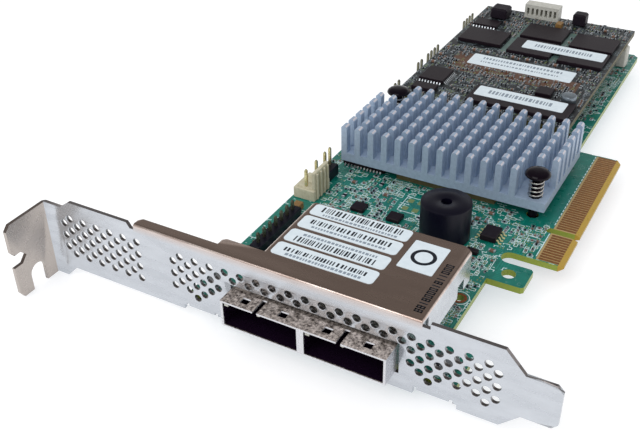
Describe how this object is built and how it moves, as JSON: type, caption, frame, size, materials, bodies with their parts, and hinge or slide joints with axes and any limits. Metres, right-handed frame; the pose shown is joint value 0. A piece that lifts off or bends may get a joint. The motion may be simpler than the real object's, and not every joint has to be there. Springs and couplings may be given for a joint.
{
  "type": "raid controller card",
  "caption": "Storage controller card with vented slot bracket, twin external ports under a sheet hood, pin-fin heatsink and a stacked memory board.",
  "frame": {"origin": "centre of the key notch on the outer edge of the contact fingers, at the component side of the main board", "axes": "+X out of the finger edge towards the slot; +Y from the bracket towards the rear of the card; +Z out of the component side"},
  "size_m": [0.12, 0.182, 0.0215],
  "materials": {
    "nickel_steel": "nickel plated sheet, satin",
    "screw_steel": "bright plated",
    "cage_nickel": "nickel plated cage, satin",
    "black_plastic": "moulded, matte",
    "label_paper": "matte paper label",
    "green_laminate": "solder mask, semi gloss",
    "olive_laminate": "solder mask, semi gloss",
    "gold_plate": "thin gold plate",
    "package_laminate": "bare package substrate",
    "moulding_compound": "epoxy moulding compound",
    "silicon": "polished die",
    "thermal_pad": "soft pad",
    "anodised_aluminium": "blue grey anodised",
    "pin_plastic": "moulded",
    "spring_steel": "drawn wire",
    "tinned_lead": "tinned",
    "cream_plastic": "moulded nylon",
    "ceramic_brown": "ceramic with tinned ends",
    "resistor_dark": "glazed with tinned ends",
    "tantalum_tan": "moulded",
    "grey_ferrite": "pressed ferrite",
    "can_aluminium": "drawn can",
    "spacer_nylon": "moulded nylon",
    "white_plastic": "moulded"
  },
  "bodies": {
    "root": {"slot_bracket": "nickel_steel", "bracket_screws": "screw_steel", "port_shell": "cage_nickel", "port_insert_left": "black_plastic", "port_insert_right": "black_plastic", "hood_labels": "label_paper", "main_board": "green_laminate", "edge_contacts": "gold_plate", "controller_package": "package_laminate", "controller_die": "silicon", "thermal_pad": "thermal_pad", "heatsink": "anodised_aluminium", "push_pins": "pin_plastic", "push_pin_springs": "spring_steel", "buzzer": "black_plastic", "flash_chip": "moulding_compound", "flash_leads": "tinned_lead", "boot_chip": "moulding_compound", "boot_leads": "gold_plate", "regulator_left": "moulding_compound", "regulator_right": "moulding_compound", "small_transistor": "moulding_compound", "fan_header": "cream_plastic", "fan_header_pins": "gold_plate", "sensor_header": "black_plastic", "sensor_header_pins": "gold_plate", "led_header": "black_plastic", "led_header_pins": "gold_plate", "edge_header": "black_plastic", "edge_header_pins": "gold_plate", "board_passives_brown": "ceramic_brown", "board_passives_dark": "resistor_dark", "tantalum_main": "tantalum_tan", "memory_board": "olive_laminate", "board_plug": "black_plastic", "board_socket": "black_plastic", "rear_spacer": "spacer_nylon", "front_spacers": "spacer_nylon", "memory_chip_1": "moulding_compound", "memory_chip_2": "moulding_compound", "memory_chip_3": "moulding_compound", "memory_chip_4": "moulding_compound", "memory_chip_5": "moulding_compound", "cache_chip": "moulding_compound", "memory_labels": "label_paper", "logic_chip": "moulding_compound", "logic_leads": "tinned_lead", "driver_chip": "moulding_compound", "driver_leads": "tinned_lead", "small_chip": "moulding_compound", "small_regulator": "moulding_compound", "inductor_left": "grey_ferrite", "inductor_right": "grey_ferrite", "round_capacitor": "can_aluminium", "tantalum_capacitor": "tantalum_tan", "battery_connector": "white_plastic", "memory_passives_brown": "ceramic_brown", "memory_passives_dark": "resistor_dark"}
  },
  "joints": []
}
